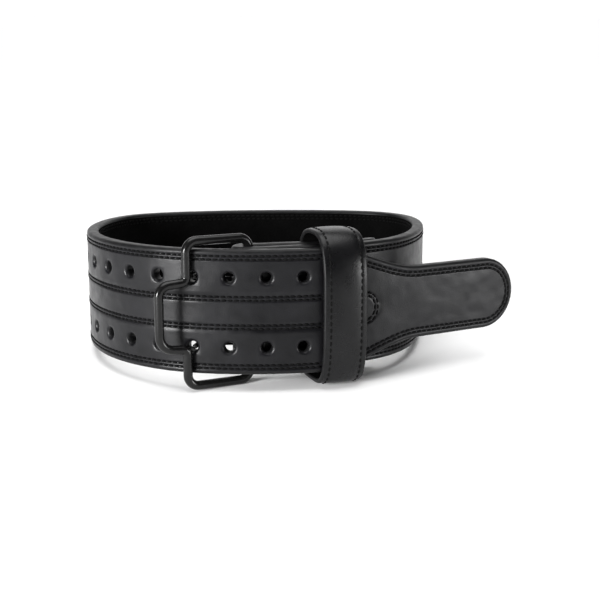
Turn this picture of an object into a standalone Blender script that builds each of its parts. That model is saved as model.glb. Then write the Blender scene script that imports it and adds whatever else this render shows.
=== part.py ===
"""Weightlifting belt: a thick leather strap fastened into a loop by a wire buckle with two prongs.

Built in the belt's own frame, then stood on the floor: +X runs along the front towards the tongue,
+Y runs from the front to the back of the loop and +Z runs up. All lengths are in metres.
The plan is the strap's outer face seen from above, travelled from the buckle end round the right side,
the back and the left side to the front, and on through the keeper to the tongue's tip.
"""
import math

import bmesh
import bpy
import numpy as np
from mathutils import Matrix, Vector

# Strap
BELT_WIDTH = 0.100
LEATHER = 0.010
EDGE_ROUND = 0.0026
LOOP_WIDTH = 0.301
LOOP_DEPTH = 0.260
STATION_STEP = 0.0075
PLAN_STEP = 0.001
TONGUE_WIDTH = 0.060
TONGUE_LENGTH = 0.100
SHOULDER_LENGTH = 0.085
FRONT_SHARE = 0.6
FOLD_STEPS = 12
TIP_STEPS = 9
TIP_TURN = math.radians(86)

# Prong holes: two rows, in columns along the strap
HOLE_DIAMETER = 0.008
HOLE_PITCH = 0.0297
ROW_OFFSET = 0.028
COLUMNS_TOWARDS_TIP = 3
COLUMNS_TOWARDS_BACK = 6
HOLE_SIDES = 16
OVERCUT = 0.0006

# Buckle
WIRE = 0.0074
FRAME_SLACK = 0.0045
FRAME_OPENING = BELT_WIDTH + 2 * FRAME_SLACK
FRAME_REACH = 0.0536
FRAME_DROP = 0.0017
STEP_REACH = 0.0229
STEP_TAPER = 0.002
UPPER_STEP_DROP = 0.0019
FRAME_CORNER = 0.009
LOWER_CORNER = 0.0115
STEP_CORNER = 0.0045
HINGE_ACROSS = -0.0015
WIRE_SIDES = 12

# Prongs
PRONG_WIRE = 0.004
PRONG_TIP = 0.0006
PRONG_UNDER = 0.0017
PRONG_BEND = 0.004
SLOT_MARGIN = 0.0008
PRONG_SIDES = 10
EYE_STEPS = 20
EYE_SHARE = 0.94

# Folded buckle end
LAP_GAP = 0.0015
FOLD_LEAD = 0.012
FLAP_LENGTH = 0.122
FLAP_END_GAP = 0.0012

# Keeper
KEEPER_PLACE = 0.0730
KEEPER_WIDTH = 0.0365
KEEPER_LEATHER = 0.0035
KEEPER_RISE = 0.013
KEEPER_CROWN = 0.0012
KEEPER_MIDDLE = 0.6 * BELT_WIDTH
KEEPER_BULGE = 0.0055
KEEPER_STEPS = 6
KEEPER_TURNS = 48

# Clearance between pieces that touch
TOUCH = 0.0003

# Steps of curves, and of searches that halve a span
SPLINE_STEPS = 40
HALVINGS = 50
WIRE_BEND_STEP = math.radians(15)
SHARP_ANGLE = math.radians(35)
STEEPEST_TILT = math.radians(10)

# Roundness of the keeper's section: its exponent above and below the middle
KEEPER_UPPER_POWER = 3.0
KEEPER_LOWER_POWER = 4.2

# Rings of a prong's rounded end, as shares of the wire's radius: distance back from the tip, radius
PRONG_POINT = (
    (1.00, 1.00),
    (0.25, 0.87),
    (0.00, 0.50),
)

# Control points of the outer face, as shares of the two named sizes in ROUTE_COLUMNS
ROUTE_COLUMNS = {"across": LOOP_WIDTH, "deep": LOOP_DEPTH}
LAP_ROUTE = (
    (0.105, 0.076),
    (0.210, 0.103),
    (0.300, 0.145),
)
LOOP_ROUTE = (
    (0.390, 0.222),
    (0.456, 0.345),
    (0.493, 0.490),
    (0.513, 0.650),
    (0.496, 0.826),
    (0.420, 0.940),
    (0.300, 0.990),
    (0.098, 1.004),
    (-0.101, 0.988),
    (-0.300, 0.936),
    (-0.424, 0.862),
    (-0.484, 0.725),
    (-0.506, 0.548),
    (-0.482, 0.368),
    (-0.403, 0.195),
    (-0.280, 0.070),
    (-0.155, 0.010),
    (-0.018, -0.004),
    (0.098, 0.001),
    (0.234, 0.036),
    (0.400, 0.130),
    (0.563, 0.240),
    (0.743, 0.360),
)


def clear_scene():
    for item in list(bpy.data.objects):
        bpy.data.objects.remove(item, do_unlink=True)


def make_material(name, colour, roughness, metallic=0.0):
    material = bpy.data.materials.new(name)
    material.use_nodes = True
    shader = material.node_tree.nodes["Principled BSDF"]
    shader.inputs["Base Color"].default_value = (*colour, 1.0)
    shader.inputs["Roughness"].default_value = roughness
    shader.inputs["Metallic"].default_value = metallic
    return material


def unit(vector):
    return vector / np.linalg.norm(vector)


def spline(points, step):
    """Points about `step` apart along the uniform cubic B-spline that starts and ends on its end points."""
    points = np.asarray(points, dtype=float)
    padded = np.vstack([2 * points[0] - points[1], points, 2 * points[-1] - points[-2]])
    fine = []
    for i in range(len(padded) - 3):
        a, b, c, d = padded[i:i + 4]
        for t in np.linspace(0, 1, SPLINE_STEPS, endpoint=False):
            fine.append(((1 - t) ** 3 * a + (3 * t ** 3 - 6 * t ** 2 + 4) * b
                         + (-3 * t ** 3 + 3 * t ** 2 + 3 * t + 1) * c + t ** 3 * d) / 6)
    fine.append(points[-1])
    return resample(np.array(fine), step)


def arc_lengths(points):
    return np.concatenate([[0], np.cumsum(np.linalg.norm(np.diff(points, axis=0), axis=1))])


def resample(points, step):
    lengths = arc_lengths(points)
    count = max(2, round(lengths[-1] / step) + 1)
    at = np.linspace(0, lengths[-1], count)
    return np.column_stack([np.interp(at, lengths, points[:, k]) for k in range(points.shape[1])])


def outward_normals(points):
    """Unit normals on the right-hand side of the travel, which is the strap's outer side."""
    tangent = np.gradient(points, axis=0)
    tangent /= np.linalg.norm(tangent, axis=1)[:, None]
    return np.column_stack([tangent[:, 1], -tangent[:, 0]])


class Route:
    """A plan curve of the strap's outer face, looked up by its length from the start."""

    def __init__(self, points):
        self.points = points
        self.normals = outward_normals(points)
        self.lengths = arc_lengths(points)
        self.total = self.lengths[-1]

    def at(self, length):
        place = np.array([np.interp(length, self.lengths, self.points[:, k]) for k in range(2)])
        normal = unit(np.array([np.interp(length, self.lengths, self.normals[:, k]) for k in range(2)]))
        return place, normal

    def find(self, test, low, high):
        """The length between `low` and `high` where `test` changes sign."""
        start = test(low)
        for _ in range(HALVINGS):
            middle = (low + high) / 2
            if (test(middle) > 0) == (start > 0):
                low = middle
            else:
                high = middle
        return (low + high) / 2


def in_metres(rows):
    sizes = tuple(ROUTE_COLUMNS.values())
    return [tuple(share * size for share, size in zip(row, sizes)) for row in rows]


def crossing(route, across):
    """The route length at which the front strap passes `across`."""
    return route.find(lambda length: route.at(length)[0][0] - across, FRONT_SHARE * route.total, route.total)


def hinge_place():
    """Centre of the hinge bar in plan, behind the front strap and the fold round the bar."""
    loop = Route(spline(in_metres(LOOP_ROUTE), PLAN_STEP))
    place, normal = loop.at(crossing(loop, HINGE_ACROSS))
    return place - normal * (2 * LEATHER + LAP_GAP + TOUCH + WIRE / 2)


def strap_route():
    """Outer face from where the buckle end leaves the hinge bar to the tongue's tip."""
    hinge = hinge_place()
    start = hinge - np.array([0, LEATHER + TOUCH + WIRE / 2])
    lead = start + np.array([FOLD_LEAD, 0])
    return Route(spline([start, lead] + in_metres(LAP_ROUTE) + in_metres(LOOP_ROUTE), PLAN_STEP))


HINGE = hinge_place()
ROUTE = strap_route()
MID_HEIGHT = BELT_WIDTH / 2


def front_bar_length():
    """Route length at which the front bar lies on the strap, `FRAME_REACH` from the hinge bar."""
    def too_far(length):
        place, normal = ROUTE.at(length)
        return np.linalg.norm(place + normal * (WIRE / 2 + TOUCH) - HINGE) - FRAME_REACH
    last = crossing(ROUTE, HINGE_ACROSS)
    return ROUTE.find(too_far, last - 2 * FRAME_REACH, last)


FRONT_BAR_LENGTH = front_bar_length()
USED_COLUMN_LENGTH = FRONT_BAR_LENGTH + WIRE / 2 + PRONG_WIRE / 2 + TOUCH - PRONG_UNDER
KEEPER_LENGTH = crossing(ROUTE, KEEPER_PLACE)


def smooth_step(value):
    value = min(max(value, 0.0), 1.0)
    return value * value * (3 - 2 * value)


def half_height(length):
    """Half of the strap's height at a route length: full, then the shoulders, then the rounded tongue."""
    from_tip = ROUTE.total - length
    tongue_half = TONGUE_WIDTH / 2
    if from_tip < tongue_half:
        return math.sqrt(max(tongue_half ** 2 - (tongue_half - from_tip) ** 2, 0.0))
    blend = smooth_step((from_tip - TONGUE_LENGTH) / SHOULDER_LENGTH)
    return tongue_half + (BELT_WIDTH / 2 - tongue_half) * blend


def strap_stations():
    """Rows of (outer face point, outward normal, half height) from the flap's end to the tongue's tip."""
    stations = []
    flap_steps = round(FLAP_LENGTH / STATION_STEP)
    bar_gap = WIRE + 2 * TOUCH
    for i in range(flap_steps, -1, -1):
        length = FLAP_LENGTH * i / flap_steps
        place, normal = ROUTE.at(length)
        gap = bar_gap + (FLAP_END_GAP - bar_gap) * smooth_step(length / FLAP_LENGTH)
        stations.append((place - normal * (2 * LEATHER + gap), -normal, BELT_WIDTH / 2))
    start_normal = ROUTE.at(0)[1]
    start_angle = math.atan2(-start_normal[1], -start_normal[0])
    for i in range(1, FOLD_STEPS):
        angle = start_angle + math.pi * i / FOLD_STEPS
        normal = np.array([math.cos(angle), math.sin(angle)])
        stations.append((HINGE + normal * (WIRE / 2 + TOUCH + LEATHER), normal, BELT_WIDTH / 2))
    tip_start = ROUTE.total - TONGUE_WIDTH / 2
    steps = round(tip_start / STATION_STEP)
    for i in range(steps + 1):
        length = tip_start * i / steps
        place, normal = ROUTE.at(length)
        stations.append((place, normal, half_height(length)))
    for i in range(1, TIP_STEPS + 1):
        turn = TIP_TURN * i / TIP_STEPS
        length = tip_start + TONGUE_WIDTH / 2 * math.sin(turn)
        place, normal = ROUTE.at(length)
        stations.append((place, normal, TONGUE_WIDTH / 2 * math.cos(turn)))
    return stations


def strap_section(half):
    """The strap's cross-section as (depth behind the outer face, height), with rounded edges."""
    radius = min(EDGE_ROUND, half)
    corners = ((radius, half - radius, 90), (radius, radius - half, 180),
               (LEATHER - radius, radius - half, 270), (LEATHER - radius, half - radius, 0))
    section = []
    for depth, height, first in corners:
        for turn in (0, 45, 90):
            angle = math.radians(first + turn)
            section.append((depth + radius * math.cos(angle), height + radius * math.sin(angle)))
    return section


def mesh_object(name, vertices, faces, material):
    mesh = bpy.data.meshes.new(name)
    mesh.from_pydata([tuple(v) for v in vertices], [], faces)
    mesh.materials.append(material)
    build = bmesh.new()
    build.from_mesh(mesh)
    bmesh.ops.recalc_face_normals(build, faces=build.faces)
    build.to_mesh(mesh)
    build.free()
    mesh.shade_smooth()
    mesh.set_sharp_from_angle(angle=SHARP_ANGLE)
    item = bpy.data.objects.new(name, mesh)
    bpy.context.collection.objects.link(item)
    return item


def tube_faces(rings, sides, closed):
    faces = []
    for i in range(rings if closed else rings - 1):
        j = (i + 1) % rings
        for k in range(sides):
            m = (k + 1) % sides
            faces.append((i * sides + k, i * sides + m, j * sides + m, j * sides + k))
    if not closed:
        faces.append(tuple(range(sides)))
        faces.append(tuple((rings - 1) * sides + k for k in range(sides)))
    return faces


def build_strap(material):
    vertices = []
    stations = strap_stations()
    for place, normal, half in stations:
        for depth, height in strap_section(half):
            point = place - normal * depth
            vertices.append((point[0], point[1], MID_HEIGHT + height))
    sides = len(strap_section(MID_HEIGHT))
    return mesh_object("belt_body", vertices, tube_faces(len(stations), sides, False), material)


def add_cylinder(build, centre, direction, radius, depth, sides):
    turn = Vector(direction).to_track_quat("Z", "X").to_matrix().to_4x4()
    bmesh.ops.create_cone(build, cap_ends=True, segments=sides, radius1=radius, radius2=radius,
                          depth=depth, matrix=Matrix.Translation(centre) @ turn)


def add_box(build, centre, size):
    matrix = Matrix.Translation(centre) @ Matrix.Diagonal((*size, 1.0))
    bmesh.ops.create_cube(build, size=1.0, matrix=matrix)


def make_cutter(name, build):
    mesh = bpy.data.meshes.new(name)
    build.to_mesh(mesh)
    build.free()
    cutter = bpy.data.objects.new(name, mesh)
    cutter.hide_render = True
    cutter.display_type = "WIRE"
    bpy.context.collection.objects.link(cutter)
    return cutter


def cut(target, cutter):
    modifier = target.modifiers.new(cutter.name, "BOOLEAN")
    modifier.operation = "DIFFERENCE"
    modifier.solver = "EXACT"
    modifier.object = cutter
    return cutter


def hole_lengths():
    """Centres of the hole columns: the pull of the belt holds each prong against its hole's tongue side."""
    slack = (HOLE_DIAMETER - PRONG_WIRE) / 2 - TOUCH
    first = USED_COLUMN_LENGTH - slack - COLUMNS_TOWARDS_BACK * HOLE_PITCH
    return [first + i * HOLE_PITCH for i in range(COLUMNS_TOWARDS_BACK + COLUMNS_TOWARDS_TIP + 1)]


def cut_prong_holes(strap):
    build = bmesh.new()
    depth = LEATHER + 2 * OVERCUT
    for length in hole_lengths():
        place, normal = ROUTE.at(length)
        middle = place - normal * LEATHER / 2
        for row in (-1, 1):
            centre = (middle[0], middle[1], MID_HEIGHT + row * ROW_OFFSET)
            add_cylinder(build, centre, (*normal, 0), HOLE_DIAMETER / 2, depth, HOLE_SIDES)
    return cut(strap, make_cutter("prong_holes", build))


def cut_fold_slots(strap):
    """Slots in the fold, in which the prongs' eyes turn round the hinge bar."""
    build = bmesh.new()
    reach = WIRE / 2 + TOUCH + PRONG_WIRE + SLOT_MARGIN
    left = WIRE / 2 + TOUCH + LEATHER + SLOT_MARGIN
    for row in (-1, 1):
        centre = (HINGE[0] + (reach - left) / 2, HINGE[1], MID_HEIGHT + row * ROW_OFFSET)
        add_box(build, centre, (reach + left, 2 * reach, PRONG_WIRE + 2 * SLOT_MARGIN))
    return cut(strap, make_cutter("fold_slots", build))


def rounded_path(corners, closed, bend_step):
    """Corners (point, fillet radius) joined by straight runs and arcs, as a list of points."""
    path = []
    count = len(corners)
    for i, (point, radius) in enumerate(corners):
        if radius == 0 or (not closed and i in (0, count - 1)):
            path.append(np.array(point))
            continue
        before = unit(np.array(corners[i - 1][0]) - point)
        after = unit(np.array(corners[(i + 1) % count][0]) - point)
        half = math.acos(np.clip(np.dot(before, after), -1, 1)) / 2
        centre = point + unit(before + after) * radius / math.sin(half)
        start = point + before * radius / math.tan(half) - centre
        end = point + after * radius / math.tan(half) - centre
        turn = math.pi - 2 * half
        steps = max(2, round(turn / bend_step))
        for k in range(steps + 1):
            share = k / steps
            path.append(centre + (math.sin((1 - share) * turn) * start + math.sin(share * turn) * end)
                        / math.sin(turn))
    return path


def sweep_wire(name, path, radii, sides, closed, side_axis, material):
    """A round wire along a path that lies in one plane, whose normal is `side_axis`."""
    path = np.array(path)
    if closed:
        tangents = np.roll(path, -1, axis=0) - np.roll(path, 1, axis=0)
    else:
        tangents = np.gradient(path, axis=0)
    vertices = []
    for point, tangent, radius in zip(path, tangents, radii):
        across = np.cross(unit(tangent), side_axis)
        for k in range(sides):
            angle = 2 * math.pi * (k + 0.5) / sides
            vertices.append(point + radius * (math.cos(angle) * across + math.sin(angle) * side_axis))
    return mesh_object(name, vertices, tube_faces(len(path), sides, closed), material)


def frame_plane():
    """Hinge bar's foot and the frame's outward direction in plan, as 3D vectors."""
    place, normal = ROUTE.at(FRONT_BAR_LENGTH)
    front = place + normal * (WIRE / 2 + TOUCH)
    direction = unit(front - HINGE)
    return np.array([*HINGE, 0.0]), np.array([*direction, 0.0])


def build_frame(material):
    hinge, outward = frame_plane()
    up = np.array([0.0, 0.0, 1.0])
    top = FRAME_OPENING / 2 + WIRE / 2
    middle_reach = FRAME_REACH + STEP_REACH
    upper_step = ROW_OFFSET - UPPER_STEP_DROP
    outline = (
        (0.0, top, FRAME_CORNER),
        (FRAME_REACH, top, FRAME_CORNER),
        (FRAME_REACH, upper_step, STEP_CORNER),
        (middle_reach, upper_step - STEP_TAPER, FRAME_CORNER),
        (middle_reach, STEP_TAPER - ROW_OFFSET, LOWER_CORNER),
        (FRAME_REACH, -ROW_OFFSET, STEP_CORNER),
        (FRAME_REACH, -top, FRAME_CORNER),
        (0.0, -top, FRAME_CORNER),
    )
    corners = [(hinge + outward * reach + up * (MID_HEIGHT - FRAME_DROP + height), radius)
               for reach, height, radius in outline]
    path = rounded_path(corners, True, WIRE_BEND_STEP)
    side_axis = np.cross(outward, up)
    return sweep_wire("buckle_frame", path, [WIRE / 2] * len(path), WIRE_SIDES, True, side_axis, material)


def build_prong(name, row, material):
    """An eye round the hinge bar and a shank that hooks through its hole in the strap."""
    height = MID_HEIGHT + row * ROW_OFFSET
    place, normal = ROUTE.at(USED_COLUMN_LENGTH)
    radius = PRONG_WIRE / 2
    eye_radius = WIRE / 2 + TOUCH + radius
    start = np.array([HINGE[0], HINGE[1] - eye_radius, height])
    bend = np.array([*(place - normal * (LEATHER + 2 * TOUCH + radius)), height])
    tip = np.array([*(place + normal * PRONG_TIP), height])
    path = rounded_path([(start, 0), (bend, PRONG_BEND), (tip, 0)], False, WIRE_BEND_STEP)[:-1]
    radii = [radius * EYE_SHARE] + [radius] * (len(path) - 1)
    for back, share in PRONG_POINT:
        path.append(tip - np.array([*normal, 0.0]) * radius * back)
        radii.append(radius * share)
    up = np.array([0.0, 0.0, 1.0])
    prong = sweep_wire(name, path, radii, PRONG_SIDES, False, up, material)
    turns = [2 * math.pi * (i + 0.5) / EYE_STEPS for i in range(EYE_STEPS)]
    ring = [np.array([*(HINGE + eye_radius * np.array([math.cos(a), math.sin(a)])), height]) for a in turns]
    eye = sweep_wire(name + "_eye", ring, [radius] * EYE_STEPS, PRONG_SIDES, True, up, material)
    eye.hide_render = True
    eye.display_type = "WIRE"
    join = prong.modifiers.new("eye", "BOOLEAN")
    join.operation = "UNION"
    join.solver = "EXACT"
    join.object = eye
    return prong, eye


def keeper_frame():
    """The keeper's middle on the front strap's outer face, its direction along the strap and into the belt."""
    place, normal = ROUTE.at(KEEPER_LENGTH)
    return place, np.array([-normal[1], normal[0]]), -normal


def strap_depths(points, along):
    """Depths of a row of plan points behind the keeper's middle, read at places along the keeper."""
    place, forward, inward = keeper_frame()
    offsets = np.array(points) - place
    order = np.argsort(offsets @ forward)
    return np.interp(along, (offsets @ forward)[order], (offsets @ inward)[order])


def keeper_section(front, back, drop):
    """The keeper's mid-line as (depth behind the outer face, height above the belt's lower edge)."""
    near = front - TOUCH - KEEPER_LEATHER / 2 - KEEPER_BULGE
    far = back + TOUCH + KEEPER_LEATHER / 2 + KEEPER_BULGE
    top = BELT_WIDTH + KEEPER_RISE - KEEPER_LEATHER / 2 - KEEPER_CROWN - KEEPER_MIDDLE
    bottom = KEEPER_MIDDLE + drop - KEEPER_LEATHER / 2 - KEEPER_CROWN
    section = []
    for turn in np.linspace(0, 2 * math.pi, KEEPER_TURNS, endpoint=False):
        across, up = -math.cos(turn), math.sin(turn)
        power, reach = (KEEPER_UPPER_POWER, top) if up > 0 else (KEEPER_LOWER_POWER, bottom)
        depth = math.copysign(abs(across) ** (2 / power), across)
        height = math.copysign(abs(up) ** (2 / power), up)
        section.append(((near + far) / 2 + (far - near) / 2 * depth, KEEPER_MIDDLE + reach * height))
    return np.array(section)


def build_keeper(tilt, back_edge, material):
    """A leather band round the overlapping plies, whose front bends as the front strap bends."""
    place, forward, inward = keeper_frame()
    along = np.linspace(-KEEPER_WIDTH / 2, KEEPER_WIDTH / 2, KEEPER_STEPS + 1)
    near_keeper = np.abs(ROUTE.lengths - KEEPER_LENGTH) < KEEPER_WIDTH
    fronts = strap_depths(ROUTE.points[near_keeper], along)
    flap = [point for point, _, _ in strap_stations()[:round(FLAP_LENGTH / STATION_STEP) + 1]]
    back = strap_depths(flap, along).max()
    centre = place + inward * back / 2
    drop = math.tan(tilt) * (back_edge - centre[1])
    vertices = []
    for shift, front in zip(along, fronts):
        middle = keeper_section(front, back, drop)
        tangent = np.roll(middle, -1, axis=0) - np.roll(middle, 1, axis=0)
        tangent /= np.linalg.norm(tangent, axis=1)[:, None]
        outward = np.column_stack([-tangent[:, 1], tangent[:, 0]])
        crown = KEEPER_CROWN * (1 - (2 * shift / KEEPER_WIDTH) ** 2)
        for side, thick in ((1, KEEPER_LEATHER / 2 + crown), (-1, KEEPER_LEATHER / 2)):
            for deep, height in middle + side * thick * outward:
                point = place + forward * shift + inward * deep
                vertices.append((point[0], point[1], height))
    slope = math.tan(tilt)
    above_floor = min(height + slope * (back_edge - depth) for _, depth, height in vertices)
    vertices = [(across, depth, height - above_floor) for across, depth, height in vertices]
    count = len(vertices) // (2 * len(along))
    ring = 2 * count
    faces = []
    for i in range(KEEPER_STEPS):
        for base in (i * ring, i * ring + count):
            for k in range(count):
                m = (k + 1) % count
                faces.append((base + k, base + m, base + ring + m, base + ring + k))
    for start in (0, KEEPER_STEPS * ring):
        for k in range(count):
            m = (k + 1) % count
            faces.append((start + k, start + m, start + count + m, start + count + k))
    return mesh_object("keeper_loop", vertices, faces, material)


def lowest_point(item, tilt):
    """A piece's lowest vertex once the belt is tipped back by `tilt`, and that vertex's height then."""
    turn = Matrix.Rotation(-tilt, 4, "X")
    low = min((vertex.co for vertex in item.data.vertices), key=lambda point: (turn @ point).z)
    return low, (turn @ low).z


def standing_tilt(strap, frame):
    """The angle at which the belt stands on its back edge and on the buckle frame, and that edge's depth."""
    low, high = 0.0, STEEPEST_TILT
    for _ in range(HALVINGS):
        tilt = (low + high) / 2
        if lowest_point(strap, tilt)[1] > lowest_point(frame, tilt)[1]:
            low = tilt
        else:
            high = tilt
    return tilt, lowest_point(strap, tilt)[0].y


def stand_up(pieces, tilt):
    """Turn the belt onto its resting points and centre it over the origin, under one empty."""
    stand = bpy.data.objects.new("belt_stand", None)
    bpy.context.collection.objects.link(stand)
    turn = Matrix.Rotation(-tilt, 4, "X")
    points = np.array([turn @ v.co for item in pieces if not item.hide_render for v in item.data.vertices])
    low = points.min(axis=0)
    high = points.max(axis=0)
    stand.location = (-(low[0] + high[0]) / 2, -(low[1] + high[1]) / 2, -low[2])
    stand.rotation_euler = (-tilt, 0, 0)
    for item in pieces:
        item.parent = stand


def main():
    clear_scene()
    leather = make_material("belt_leather", (0.022, 0.022, 0.024), 0.42)
    keeper_leather = make_material("keeper_leather", (0.020, 0.020, 0.022), 0.45)
    frame_metal = make_material("frame_metal", (0.020, 0.020, 0.022), 0.32, 0.85)
    prong_metal = make_material("prong_metal", (0.025, 0.025, 0.027), 0.35, 0.85)
    strap = build_strap(leather)
    frame = build_frame(frame_metal)
    tilt, back_edge = standing_tilt(strap, frame)
    pieces = [strap, frame, build_keeper(tilt, back_edge, keeper_leather)]
    pieces += build_prong("prong_upper", 1, prong_metal)
    pieces += build_prong("prong_lower", -1, prong_metal)
    pieces += [cut_prong_holes(strap), cut_fold_slots(strap)]
    stand_up(pieces, tilt)


main()
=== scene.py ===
"""Looks of the weightlifting belt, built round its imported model.

The strap is worked out unrolled: a point on it is (length along the outer face, height above the strap's
middle, depth behind the outer face), and the route then bends it into the loop. All lengths are in metres.
"""
import math

import bmesh
import bpy
import numpy as np
from mathutils import Matrix, Vector


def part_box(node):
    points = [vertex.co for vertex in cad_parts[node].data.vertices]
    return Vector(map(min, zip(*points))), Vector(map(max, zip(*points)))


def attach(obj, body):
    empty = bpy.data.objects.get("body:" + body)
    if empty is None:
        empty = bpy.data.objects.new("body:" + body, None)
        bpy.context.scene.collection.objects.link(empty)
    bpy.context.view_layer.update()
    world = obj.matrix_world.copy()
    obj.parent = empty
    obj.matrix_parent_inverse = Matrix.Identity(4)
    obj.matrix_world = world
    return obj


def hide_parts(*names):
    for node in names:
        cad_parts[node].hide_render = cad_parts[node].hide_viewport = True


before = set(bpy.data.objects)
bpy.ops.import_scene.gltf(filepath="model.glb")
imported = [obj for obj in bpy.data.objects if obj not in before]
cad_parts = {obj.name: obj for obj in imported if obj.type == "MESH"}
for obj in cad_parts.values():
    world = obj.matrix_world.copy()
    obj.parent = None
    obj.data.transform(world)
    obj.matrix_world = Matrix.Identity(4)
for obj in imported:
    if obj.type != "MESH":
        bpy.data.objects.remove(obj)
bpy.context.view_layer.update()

# Strap
BELT_WIDTH = 0.100
LEATHER = 0.010
EDGE_ROUND = 0.0026
LOOP_WIDTH = 0.301
LOOP_DEPTH = 0.260
PLAN_STEP = 0.001
TONGUE_WIDTH = 0.060
TONGUE_LENGTH = 0.100
SHOULDER_LENGTH = 0.085
FRONT_SHARE = 0.6

# Prong holes
HOLE_DIAMETER = 0.008
HOLE_PITCH = 0.0297
ROW_OFFSET = 0.028
COLUMNS_TOWARDS_TIP = 3
COLUMNS_TOWARDS_BACK = 6

# Buckle
WIRE = 0.0074
FRAME_OPENING = 0.109
FRAME_REACH = 0.0536
FRAME_DROP = 0.0017
STEP_REACH = 0.0229
STEP_TAPER = 0.002
UPPER_STEP_DROP = 0.0019
FRAME_CORNER = 0.009
LOWER_CORNER = 0.0115
STEP_CORNER = 0.0045
HINGE_ACROSS = -0.0015
PRONG_WIRE = 0.004
PRONG_TIP = 0.0006
PRONG_UNDER = 0.0017
PRONG_BEND = 0.004
SLOT_MARGIN = 0.0008
SLOT_HALF = PRONG_WIRE / 2 + SLOT_MARGIN
EYE_RINGS = 48
PRONG_TIP_RINGS = 6
PRONG_TIP_TURN = math.pi / 2 - 0.1

# Folded buckle end
LAP_GAP = 0.0015
FOLD_LEAD = 0.012
FLAP_LENGTH = 0.122
FLAP_END_GAP = 0.0012

# Keeper
KEEPER_PLACE = 0.0730
KEEPER_WIDTH = 0.0365
KEEPER_LEATHER = 0.0035
KEEPER_RISE = 0.013
KEEPER_CROWN = 0.0012
KEEPER_MIDDLE = 0.060
KEEPER_BULGE = 0.0055
KEEPER_UPPER_POWER = 3.0
KEEPER_LOWER_POWER = 4.2
KEEPER_EDGE = 0.0013
TOUCH = 0.0003

# Stitching
STITCH_PITCH = 0.005
STITCH_LENGTH = 0.0045
KEEPER_PITCH = 0.0054
THREAD = 0.0018
EDGE_LINES = (0.0049, 0.0078)
MIDDLE_LINES = (0.00995, 0.01285)
KEEPER_LINE = 0.0052
GROOVE_WIDTH = 0.0025
GROOVE_DEPTH = 0.0008
THREAD_DEPTH = 0.0004
THREAD_DIP = 0.0004
KEEPER_GROOVE_SHARE = 0.35
KEEPER_THREAD_DEPTH = 0.00025
TURN_SQUASH = 0.9
THREAD_PROFILE = (0.2, 0.95, 1.0, 0.95, 0.2)
TURN_BEYOND_KEEPER = 0.0190

# How the belt stands
STAND_TILT = math.radians(3.280)

# Camera, in the belt's own frame before it is stood up
EYE = (0.0395, -0.8275, 0.232)
EYE_DOWN = math.radians(11.7)
LENS_MM = 65.0
SENSOR_MM = 36.0

# Studio: the dome's light as (axis, where it begins, where it is full, strength), its strength elsewhere, and
# softboxes as (name, place, size, power in watts)
DOME = (
    ("Y", 0.50, 0.88, 1.1),
    ("Z", 0.80, 0.97, 4.4),
)
DOME_ELSEWHERE = 0.02
SOFTBOXES = (
    ("key_softbox", (-1.00, -1.05, 0.32), (0.45, 0.40), 38.0),
    ("right_softbox", (1.35, -0.50, 0.15), (0.70, 0.40), 12.0),
)
SOFTBOX_AIM = (0.0, -0.05, 0.06)
FLOOR_REACH = 60.0
FLOOR_COLOUR = (0.95, 0.95, 0.95)

# Fineness of the curves and the meshes
SPLINE_STEPS = 40
PLAN_SAMPLES = 4000
STATION_STEP = 0.0035
FOLD_STEP = 0.0015
TURN_SPAN = 0.014
TURN_STEP = 0.0007
END_SHARES = (0.03, 0.15, 0.35, 0.65, 1.0)
EDGE_STEPS = 5
TIP_STEPS = 20
FOLD_SPAN = 0.0094
WINDOW = 0.007
WINDOW_STEPS = 8
BAND = 0.0095
PLAIN_ROWS = (0.0, 0.0015, 0.003, 0.0045, 0.006, 0.0075, 0.0173, 0.038)
GROOVE_SHARES = (-1, -0.5, 0, 0.5, 1)
NARROW_SHARE = 0.75
WIRE_SIDES = 24
WIRE_BEND_STEP = math.radians(7)
KEEPER_STEP = 0.0022
KEEPER_EDGE_STEPS = 4
KEEPER_SECTIONS = 25
SECTION_POINTS = 720
KEEPER_FACE_COLUMNS = (0.0, 0.004, 0.008)
KEEPER_INNER_COLUMN = 0.006
KEEPER_EDGE_COLUMN = 0.0012
RUN_STEP = 0.002
RUN_TURNS = 25
STITCH_SIDES = 6

# Digits that lengths are rounded to, the distance at which vertices are merged, and a count's tolerance
DIGITS = 7
MERGE = 2e-6
TINY = 1e-6

# Material slots of the leather pieces
FACE, EDGE, INNER = range(3)

# The part of its range that a noise mostly keeps to, and a mix node's sockets for colours
NOISE_LOW = 0.3
NOISE_HIGH = 0.7
MIX_FIRST, MIX_SECOND, MIX_RESULT = 6, 7, 2

# Control points of the outer face, as shares of the loop's width and depth
ROUTE_SCALE = np.array([LOOP_WIDTH, LOOP_DEPTH])
LAP_ROUTE = (
    (0.105, 0.076),
    (0.210, 0.103),
    (0.300, 0.145),
)
LOOP_ROUTE = (
    (0.390, 0.222),
    (0.456, 0.345),
    (0.493, 0.490),
    (0.513, 0.650),
    (0.496, 0.826),
    (0.420, 0.940),
    (0.300, 0.990),
    (0.098, 1.004),
    (-0.101, 0.988),
    (-0.300, 0.936),
    (-0.424, 0.862),
    (-0.484, 0.725),
    (-0.506, 0.548),
    (-0.482, 0.368),
    (-0.403, 0.195),
    (-0.280, 0.070),
    (-0.155, 0.010),
    (-0.018, -0.004),
    (0.098, 0.001),
    (0.234, 0.036),
    (0.400, 0.130),
    (0.563, 0.240),
    (0.743, 0.360),
)

# A prong hole from the outer face to the inner one: radius as a share of the hole's, depth of the leather's.
# Its first bands have the face's finish.
HOLE_FACE_BANDS = 4
HOLE_PROFILE = (
    (1.68, 0.000),
    (1.50, 0.020),
    (1.32, 0.062),
    (1.17, 0.130),
    (1.06, 0.220),
    (1.00, 0.340),
    (1.00, 0.750),
    (1.06, 0.900),
    (1.20, 0.970),
    (1.45, 1.000),
)


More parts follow.
